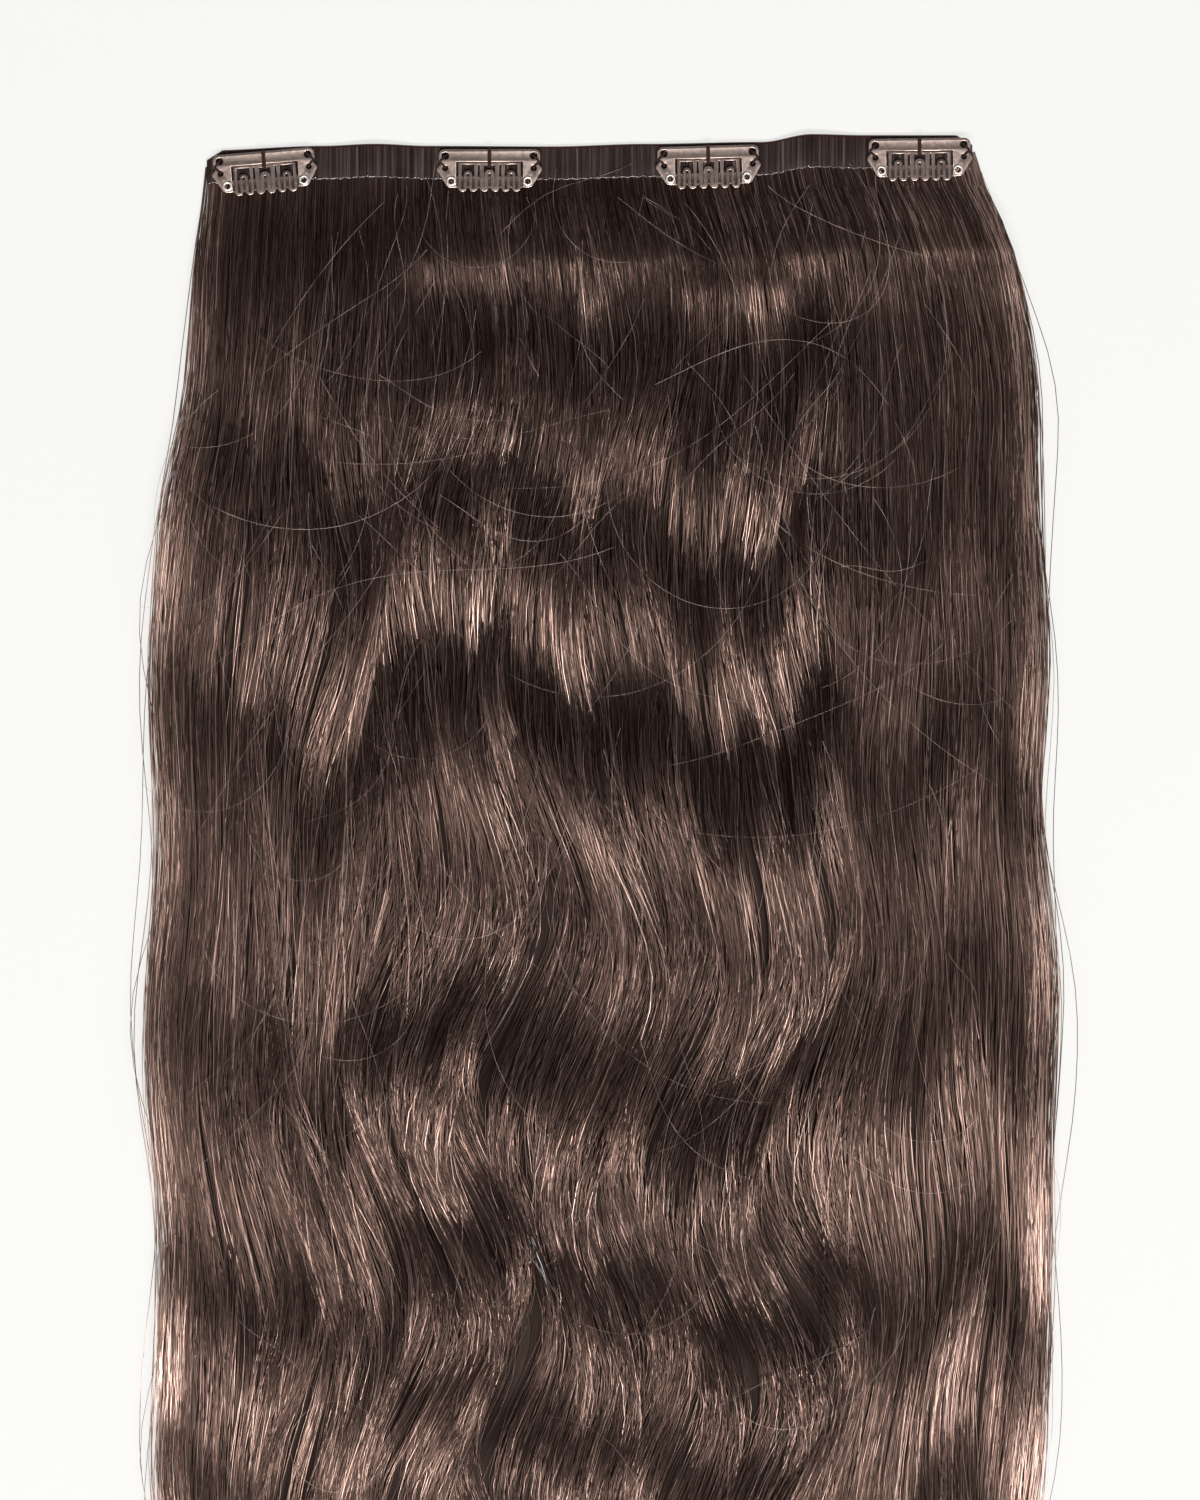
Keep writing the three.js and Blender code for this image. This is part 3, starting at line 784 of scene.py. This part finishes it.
# Loose hairs lie across the others in wide arcs, clear of the combs and below the band's top edge
def makeFlyaways():
    tries = looseHairs["count"] * 4
    down = -math.pi / 2
    near = rng.uniform(0, 1, tries) < 0.5
    startX = rng.uniform(*looseHairs["startX"], tries)
    nearY = -3 - looseHairs["nearDown"] * rng.uniform(0, 1, tries) ** 1.5
    startY = np.where(near, nearY, rng.uniform(*looseHairs["startY"], tries))
    nearHeading = rng.normal(down, looseHairs["nearTurn"], tries)
    heading = np.where(near, nearHeading, rng.normal(down, looseHairs["farTurn"], tries))
    length = np.clip(np.exp(rng.normal(*looseHairs["logLength"], tries)), *looseHairs["lengths"])
    bend = rng.normal(0, 1, tries) / rng.uniform(*looseHairs["bends"], tries)
    share = np.linspace(0, 1, looseHairs["steps"])[None, :]
    run = share * length[:, None]
    angle = heading[:, None] + bend[:, None] * run + rng.normal(0, 0.2, tries)[:, None] * np.sin(share * 5)
    step = length[:, None] / looseHairs["steps"]
    x = startX[:, None] + np.cumsum(np.cos(angle), axis=1) * step
    y = startY[:, None] + np.cumsum(np.sin(angle), axis=1) * step
    below = bandTop(x) - y
    wide = looseHairs["wide"] + 3 * rng.uniform(-1, 1, tries)[:, None]
    aside = np.abs(x - looseHairs["middle"])
    clear = (below > 0.3) & (below < looseHairs["tips"])
    clear &= aside < np.minimum(wide, looseHairs["wideTop"] + below * 0.25)
    onClip = 0 * x
    for row in clip["rows"]:
        away = np.abs(x - row["at"] * half)
        clear &= ~((away < combWidth / 2 + looseHairs["combGap"]) & (below < looseHairs["combEnd"]))
        onClip = np.maximum(onClip, smoothStep((18 - away) / 4) * smoothStep((16 - below) / 4))
    chosen = np.flatnonzero(clear.all(axis=1))[: looseHairs["count"]]
    x, y, below, onClip = x[chosen], y[chosen], below[chosen], onClip[chosen]
    side = np.clip((x - looseHairs["middle"]) / 120, -0.97, 0.97)
    top = hairLine(side, np.clip(below - hair["underFilm"], 0.5, 450), 1.0 + 0 * x)[2]
    top = top + looseHairs["over"] + looseHairs["overMore"] * smoothStep(below / 40)
    top = np.where(below < band["height"] + 1, bandLift(x) + bandThick + 0.2, top)
    raised = rng.uniform(*looseHairs["raise"], len(chosen))[:, None] * np.sin(math.pi * share)
    raised = raised + looseHairs["overClip"] * onClip
    girth = (1 - 0.5 * share ** 2) * rng.uniform(*looseHairs["girths"], len(chosen))[:, None]
    values = {"Radius": looseHairs["radius"] * mm, "Sides": 3}
    return tubesAlong("flyaways", place(x, y, top + raised), girth, values, looseMaterial)


clumps = makeClumps()
hairLocks = makeLocks()
hairStrands = makeStrands()
flyaways = makeFlyaways()
print("stage: hair made")

# Band: roots, film and glue edge

def loftAcross(name, rows, uv, material):
    faces = ringFaces(*rows.shape[:2])[:, [0, 3, 2, 1]]
    mesh = meshFromArrays(name, rows.reshape(-1, 3), faces, uv=uv.reshape(-1, 2))
    closeEnds(mesh)
    return addPiece(name, mesh, material)


# The sheets' own flat places, in metres
def loftUv(x, tall):
    return np.stack([np.stack([(x + half) * mm, 0 * x + t * mm], axis=-1) for t in tall], axis=1)


def makeFilm():
    x = np.linspace(-half, half, band["stations"])
    corner = cornerLoss(x)
    ripple = 0.06 * np.sin(x * 0.61) + 0.04 * np.sin(x * 1.7 + 1)
    top = bandTop(x) - corner
    bottom = bandTop(x) - band["height"] + 0.12 * np.sin(x * 2.3) + 0.08 * np.sin(x * 5.1)
    middle = bandThick / 2
    wall = band["wall"] * 0.7
    fold = np.linspace(-90, 90, 9) * math.pi / 180
    high = bandThick - 0.02 + ripple
    section = [(bottom, 0.02 + 0 * x)]
    section += [(top - 0.8 + 0.8 * math.cos(a), middle + (middle - 0.02) * math.sin(a)) for a in fold]
    section += [(top - 1.1, bandThick - 0.02 + 0 * x), (bottom + 0.3, high)]
    section += [(bottom, high - 0.05), (bottom, high - wall)]
    inner = middle - wall
    section += [(top - 0.85 + (0.85 - wall) * math.cos(a), middle + inner * math.sin(a)) for a in fold[::-1]]
    section += [(bottom, wall + 0 * x)]
    rows = np.stack([place(x, y + 0 * x, z + bandLift(x)) for y, z in section], axis=1)
    tall = [0.0, *np.linspace(8, 10, 9), 10.5, 17.6, 18, 18.3, *np.linspace(26, 28, 9), 36]
    uv = loftUv(x, tall)
    return loftAcross("bandFilm", rows, uv, filmMaterial)


roots = {"columns": 680, "rows": 8, "thick": 0.54, "ridge": 0.09, "below": 5}


def makeRoots():
    columns = roots["columns"]
    x = np.linspace(-half + 0.6, half - 0.6, columns)
    corner = cornerLoss(x)
    top = bandTop(x) - corner - band["wall"] - band["gap"]
    bottom = bandTop(x) - band["height"] - roots["below"]
    low = bandLift(x) + band["wall"] + band["gap"] + 0.03
    ridge = roots["ridge"] * (np.arange(columns) % 2) + rng.uniform(0, 0.07, columns)
    shares = [step / (roots["rows"] - 1) for step in range(roots["rows"])]
    section = [(s, low + ridge, s * 14) for s in shares]
    section += [(1 - s, low + roots["thick"] - ridge, 28 - (1 - s) * 14) for s in shares]
    rows = np.stack([place(x, bottom + (top - bottom) * s, z) for s, z, t in section], axis=1)
    uv = loftUv(x, [t for s, z, t in section])
    return loftAcross("rootSheet", rows, uv, lockMaterial)


def makeGlueEdge():
    count = 520
    x = np.linspace(-half + 0.5, half - 0.5, count)
    y = bandTop(x) - band["height"] + 0.12 + 0.1 * np.sin(x * 2.3) + rng.normal(0, 0.05, count)
    z = bandLift(x) + bandThick - 0.12 + rng.normal(0, 0.04, count)
    girth = 0.7 + 0.3 * np.sin(x * 3.1) + rng.uniform(-0.2, 0.3, count)
    values = {"Radius": 0.17 * mm, "Sides": 6}
    return tubesAlong("glueEdge", place(x, y, z)[None], girth[None], values, glueMaterial)


bandFilm = makeFilm()
rootSheet = makeRoots()
glueEdge = makeGlueEdge()
print("stage: band made")

# Clips

def clipFrame(row):
    x = row["at"] * half
    reach = clip["width"] / 2
    slope = float(bandTop(np.array([x + reach]))[0] - bandTop(np.array([x - reach]))[0]) / clip["width"]
    turn = math.atan(slope) + math.radians(row["turn"])
    y = float(bandTop(np.array([x]))[0]) - clip["margin"]
    z = float(bandLift(np.array([x]))[0]) + bandThick
    spot = ((x + layout["shiftX"]) * mm, (y + layout["shiftY"]) * mm, z * mm)
    return Matrix.Translation(spot) @ Matrix.Rotation(turn, 4, "Z")


def arcPoints(x, y, radius, start, stop, steps):
    turns = np.radians(np.linspace(start, stop, steps + 1))
    return [(x + radius * math.cos(t), y + radius * math.sin(t)) for t in turns]


def roundHole(x, y, radius):
    return arcPoints(x, y, radius, 0, 360, 28)[:-1]


# A stamped piece with rolled edges, from an outline and its holes, in a clip's own frame
def stampedMesh(name, outline, holes, low, thick, bevel):
    curve = bpy.data.curves.new(name, "CURVE")
    curve.dimensions = "2D"
    curve.fill_mode = "BOTH"
    curve.extrude = (thick / 2 - bevel) * mm
    curve.bevel_depth = bevel * mm
    curve.bevel_resolution = 3
    curve.offset = -bevel * mm
    for loop in [outline] + holes:
        spline = curve.splines.new("POLY")
        spline.points.add(len(loop) - 1)
        for point, (x, y) in zip(spline.points, loop):
            point.co = (x * mm, y * mm, 0, 1)
        spline.use_cyclic_u = True
    mesh = meshOf(addPiece(name, curve), name)
    mesh.transform(Matrix.Translation((0, 0, (low + thick / 2) * mm)))
    work = bmesh.new()
    work.from_mesh(mesh)
    bmesh.ops.remove_doubles(work, verts=work.verts, dist=1e-7)
    work.to_mesh(mesh)
    work.free()
    joinSmooth(mesh, 50)
    return mesh


def mirrored(points):
    return points + [(-x, y) for x, y in reversed(points)]


def plateMesh(name):
    top, ear, rivet = clip["topWidth"] / 2, clip["width"] / 2, clip["rivetSpacing"] / 2
    notch = (clip["strip"] + clip["earDrop"]) / 2 - clip["notch"]
    slit = combWidth / 2 + clip["slit"]
    right = arcPoints(top - clip["corner"], -clip["corner"], clip["corner"], 90, 0, 8)
    right += [(top, -notch + clip["notch"]), (top - clip["notch"] * 0.7, -notch + 0.15)]
    right += [(top - clip["notch"], -notch - 0.05), (top - clip["notch"] * 0.8, -notch - 0.3)]
    right += [(ear - clip["notch"], -notch - clip["notch"] - 0.1)]
    right += arcPoints(ear - clip["corner"] / 2, -clip["earDrop"], clip["corner"] / 2, 50, -30, 5)
    right += arcPoints(rivet, -clip["rivetDrop"], clip["rivetEdge"], -30, -90, 8)
    right += [(slit, -clip["rivetDrop"] - clip["rivetEdge"]), (slit, -clip["strip"])]
    holes = []
    for side in (-1, 1):
        holes.append(roundHole(side * clip["upperSpacing"] / 2, -clip["upperDrop"], clip["upperRadius"]))
        holes.append(roundHole(side * clip["middleSpacing"] / 2, -clip["middleDrop"], clip["middleRadius"]))
        holes.append(roundHole(side * rivet, -clip["rivetDrop"], rivetHole))
    return stampedMesh(name, mirrored(right), holes, clip["rise"], clip["thick"], clip["bevel"])


def barMesh(name):
    rivet, tall = clip["rivetSpacing"] / 2, clip["barHeight"] / 2
    outline = arcPoints(rivet, -clip["rivetDrop"], tall, 90, -90, 12)
    outline += arcPoints(-rivet, -clip["rivetDrop"], tall, 270, 90, 12)
    holes = [roundHole(side * rivet, -clip["rivetDrop"], rivetHole) for side in (-1, 1)]
    return stampedMesh(name, outline, holes, clip["gap"], clip["barThick"], clip["bevel"])


def evenly(points, step):
    points = np.array(points, float)
    lengths = np.concatenate([[0], np.cumsum(np.linalg.norm(np.diff(points, axis=0), axis=1))])
    count = max(2, int(round(lengths[-1] / step)) + 1)
    places = np.linspace(0, lengths[-1], count)
    return np.stack([np.interp(places, lengths, points[:, k]) for k in range(points.shape[1])], axis=1)


# The comb is one wire folded into pairs of teeth below its root bar
def combMesh(name):
    bend, reach, wide = clip["pitch"] / 4, clip["pitch"] * 0.75, clip["wire"] / 2
    tip = -clip["combLength"] + bend + wide
    arch = -clip["archDrop"] - bend - wide
    root = clip["rootBar"] / 2

    def wireSide(x, wide, tipSteps, archSteps):
        spots = [x - clip["pitch"] / 2, x + clip["pitch"] / 2]
        left, right = [arcPoints(at, tip, bend + wide, 180, 360, tipSteps) for at in spots]
        return left + arcPoints(x, arch, bend - wide, 180, 0, archSteps) + right

    outline = [(-combWidth / 2, root), (-combWidth / 2, -root)]
    holes = []
    for pair in range(clip["pairs"]):
        x = (pair - (clip["pairs"] - 1) / 2) * 2 * clip["pitch"]
        if pair > 0:
            outline.append((x - reach - wide, -root))
        outline += wireSide(x, wide, 12, 8)
        if pair < clip["pairs"] - 1:
            outline.append((x + reach + wide, -root))
        start, end = (x - reach + wide, -root), (x + reach - wide, -root)
        holes.append([start, *wireSide(x, -wide, 8, 10), end])
    outline += [(combWidth / 2, -root), (combWidth / 2, root)]
    return stampedMesh(name, outline, holes, -clip["combThick"] / 2, clip["combThick"], clip["combBevel"])


def makeComb(number, matrix):
    comb = addPiece(f"comb{number}", combMesh(f"comb{number}"), steelMaterial)
    seat = Matrix.Translation((0, -hingeDrop * mm, clip["hingeRise"] * mm))
    comb.data.transform(matrix @ seat @ Matrix.Rotation(math.radians(-clip["combTilt"]), 4, "X"))
    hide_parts(f"comb_{number}")
    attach(comb, f"comb_{number}")


def makeRivets(matrices):
    bore, wall, flange = clip["rivetBore"], clip["rivetWall"], clip["rivetFlange"]
    low = clip["gap"]
    top = clip["rise"] + clip["thick"] + clip["rivetGap"]
    roll = clip["flangeThick"] / 2
    profile = [(bore, low), (bore + wall, low), (bore + wall, top)]
    profile += arcPoints(flange - roll, top + roll, roll, -90, 90, 6)
    profile += arcPoints(bore + 0.3, top + roll - 0.05, roll + 0.05, 90, 180, 5)
    sides = 28
    turns = np.arange(sides) / sides * 2 * math.pi
    rings = np.array([
        [(r * math.cos(t) * mm, r * math.sin(t) * mm, z * mm) for t in turns]
        for r, z in profile
    ])
    faces = ringFaces(len(profile) + 1, sides) % (len(profile) * sides)
    mesh = meshFromArrays("rivetMaster", rings.reshape(-1, 3), faces)
    joinSmooth(mesh, 60)
    master = addPiece("rivetMaster", mesh, rivetMaterial)
    aside, down = clip["rivetSpacing"] / 2 * mm, -clip["rivetDrop"] * mm
    spots = [m @ Vector((side * aside, down, 0)) for m in matrices for side in (-1, 1)]
    points = meshFromArrays("rivetSpots", np.array([tuple(s) for s in spots]))
    rivets = runTree("rivets", points, copyTree, {"Master": master}, rivetMaterial)
    bpy.data.objects.remove(master)
    return rivets


# Thread: a few yarns laid round each other along every stitch
def stitchPaths(matrices):
    high = clip["rise"] + clip["thick"] + 0.32
    low = 0.15
    foot = hingeDrop + clip["rootBar"] / 2 + 0.55
    wrap = ((clip["topWidth"] - clip["notch"]) / 2, -(clip["upperDrop"] + clip["middleDrop"]) / 2)
    routes = []
    for x in (-0.2, 0.2):
        start = [(x, 0.55, low), (x, 0.5, high - 0.25), (x, 0.2, high)]
        routes.append(start + [(x, -foot + 0.4, high), (x, -foot, high - 0.3), (x, -foot, low)])
    for side in (-1, 1):
        up = (side * clip["upperSpacing"] / 2, -clip["upperDrop"])
        down = (side * clip["middleSpacing"] / 2, -clip["middleDrop"])
        notch = (side * wrap[0], wrap[1])
        start = [(*up, low), (*up, high - 0.2), (up[0] + side * 0.15, up[1] - 0.3, high), (*notch, high)]
        routes.append(start + [(down[0], down[1] + 0.3, high), (*down, high - 0.2), (*down, low)])
    paths = []
    for matrix in matrices:
        for route in routes:
            line = evenly(route, 0.3)
            ahead = np.gradient(line, axis=0)
            ahead /= np.linalg.norm(ahead, axis=1)[:, None]
            across = np.cross(ahead, (0.31, 0.2, 0.93))
            across /= np.linalg.norm(across, axis=1)[:, None] + 1e-9
            over = np.cross(ahead, across)
            for yarn in range(clip["yarns"]):
                turn = np.arange(len(line)) * 0.35 + yarn * 2 * math.pi / clip["yarns"]
                wound = across * np.cos(turn)[:, None] + over * np.sin(turn)[:, None]
                path = line + clip["yarn"] * 1.05 * wound
                paths.append([tuple(matrix @ Vector(p * mm)) for p in path])
    return paths


def makeThread(matrices):
    points, edges = [], []
    for path in stitchPaths(matrices):
        first = len(points)
        points += path
        edges += [(first + k, first + k + 1) for k in range(len(path) - 1)]
    mesh = meshFromArrays("threadPaths", np.array(points), edges=np.array(edges))
    setPointValues(mesh, "girth", np.ones(len(points)))
    return runTree("sewingThread", mesh, tubeTree, {"Radius": clip["yarn"] * mm, "Sides": 6}, threadMaterial)


matrices = [clipFrame(row) for row in clip["rows"]]
for number, matrix in enumerate(matrices, 1):
    plate = addPiece(f"plate{number}", plateMesh(f"plate{number}"), steelMaterial)
    bar = addPiece(f"bar{number}", barMesh(f"bar{number}"), barInShadeMaterial)
    for piece, node in ((plate, "plate"), (bar, "bar")):
        piece.data.transform(matrix)
        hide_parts(f"{node}_{number}")
        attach(piece, "weft")
    makeComb(number, matrix)
rivets = makeRivets(matrices)
thread = makeThread(matrices)
print("stage: clips made")

numbers = range(1, len(matrices) + 1)
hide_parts("hair")
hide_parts("band")
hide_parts(*[f"rivet_{side}_{n}" for n in numbers for side in ("left", "right")])
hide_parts(*[f"stitch_{side}_{n}" for n in numbers for side in ("left", "middle", "right")])
for piece, slot in [(p, "hair") for p in (hairLocks, *hairStrands, flyaways, rootSheet)] + [
    (bandFilm, "film"), (glueEdge, "film"), (rivets, "rivet_steel"), (thread, "thread"),
]:
    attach(piece, "weft")

# Stage, light and camera

stage = {
    "floorSize": 16.0, "floorColour": (0.138, 0.137, 0.133), "floorGlow": 0.74, "floorDrop": 0.0003,
    "worldLight": 0.06, "keyPower": 55.0, "keyWide": 1.2, "keyDeep": 0.4, "keyTilt": 24.0, "keyAway": 1.9,
    "keyAside": 0.1, "fillPower": 6.5, "fillSize": 1.4, "fillSpot": (1.7, 0.5, 0.9),
    "viewAway": 1.7, "frameTall": 0.4, "sensor": 36, "centre": (-1.12, 70.95),
}


def makeStage():
    size = stage["floorSize"] / 2
    corners = [(x * size, y * size, -stage["floorDrop"]) for x, y in ((-1, -1), (1, -1), (1, 1), (-1, 1))]
    floor = addPiece("floor", meshFromArrays("floor", np.array(corners), [[0, 1, 2, 3]]))
    glow = {"Emission_Color": (1.0, 0.994, 0.97, 1), "Emission_Strength": stage["floorGlow"]}
    material, graph, shade = newMaterial("paleFloor", Roughness=0.9, **glow)
    spot = objectSpot(graph)
    grain = noiseOver(graph, spot, 3.0, 2.0)
    pale = stage["floorColour"]
    tones = [tuple(c * share for c in pale) for share in (0.985, 1.015)]
    shade("Base Color", mixColour(graph, grain, *tones))
    floor.data.materials.append(material)
    world = bpy.data.worlds.new("studio")
    bpy.context.scene.world = world
    world.use_nodes = True
    backdrop = world.node_tree.nodes["Background"]
    backdrop.inputs["Color"].default_value = (1.0, 0.94, 1.0, 1)
    backdrop.inputs["Strength"].default_value = stage["worldLight"]


def addLight(name, spot, target, power, width, height):
    light = bpy.data.lights.new(name, "AREA")
    light.shape = "RECTANGLE"
    light.size = width
    light.size_y = height
    light.energy = power
    lamp = bpy.data.objects.new(name, light)
    lamp.location = spot
    lamp.rotation_euler = (Vector(target) - Vector(spot)).to_track_quat("-Z", "Y").to_euler()
    bpy.context.scene.collection.objects.link(lamp)
    return lamp


def makeLights():
    away, tilt = stage["keyAway"], math.radians(stage["keyTilt"])
    middle = Vector((stage["centre"][0] * mm, stage["centre"][1] * mm, 0))
    spot = middle + Vector((stage["keyAside"], -away * math.sin(tilt), away * math.cos(tilt)))
    addLight("keyLight", spot, middle, stage["keyPower"], stage["keyWide"], stage["keyDeep"])
    aside, ahead, high = stage["fillSpot"]
    size = stage["fillSize"]
    for name, side in (("fillLight2", -1), ("fillLight1", 1)):
        spot = middle + Vector((side * aside, ahead, high))
        lamp = addLight(name, spot, middle, stage["fillPower"], size, size)
        lamp.visible_glossy = False


def makeCamera():
    view = bpy.data.cameras.new("camera")
    view.sensor_width = stage["sensor"]
    view.lens = stage["sensor"] * stage["viewAway"] / stage["frameTall"]
    view.clip_start = 0.01
    view.clip_end = 20
    camera = bpy.data.objects.new("camera", view)
    camera.location = (stage["centre"][0] * mm, stage["centre"][1] * mm, stage["viewAway"])
    bpy.context.scene.collection.objects.link(camera)
    bpy.context.scene.camera = camera


makeStage()
makeLights()
makeCamera()
bpy.context.scene.view_settings.view_transform = "Standard"
print("stage: lights and camera set")
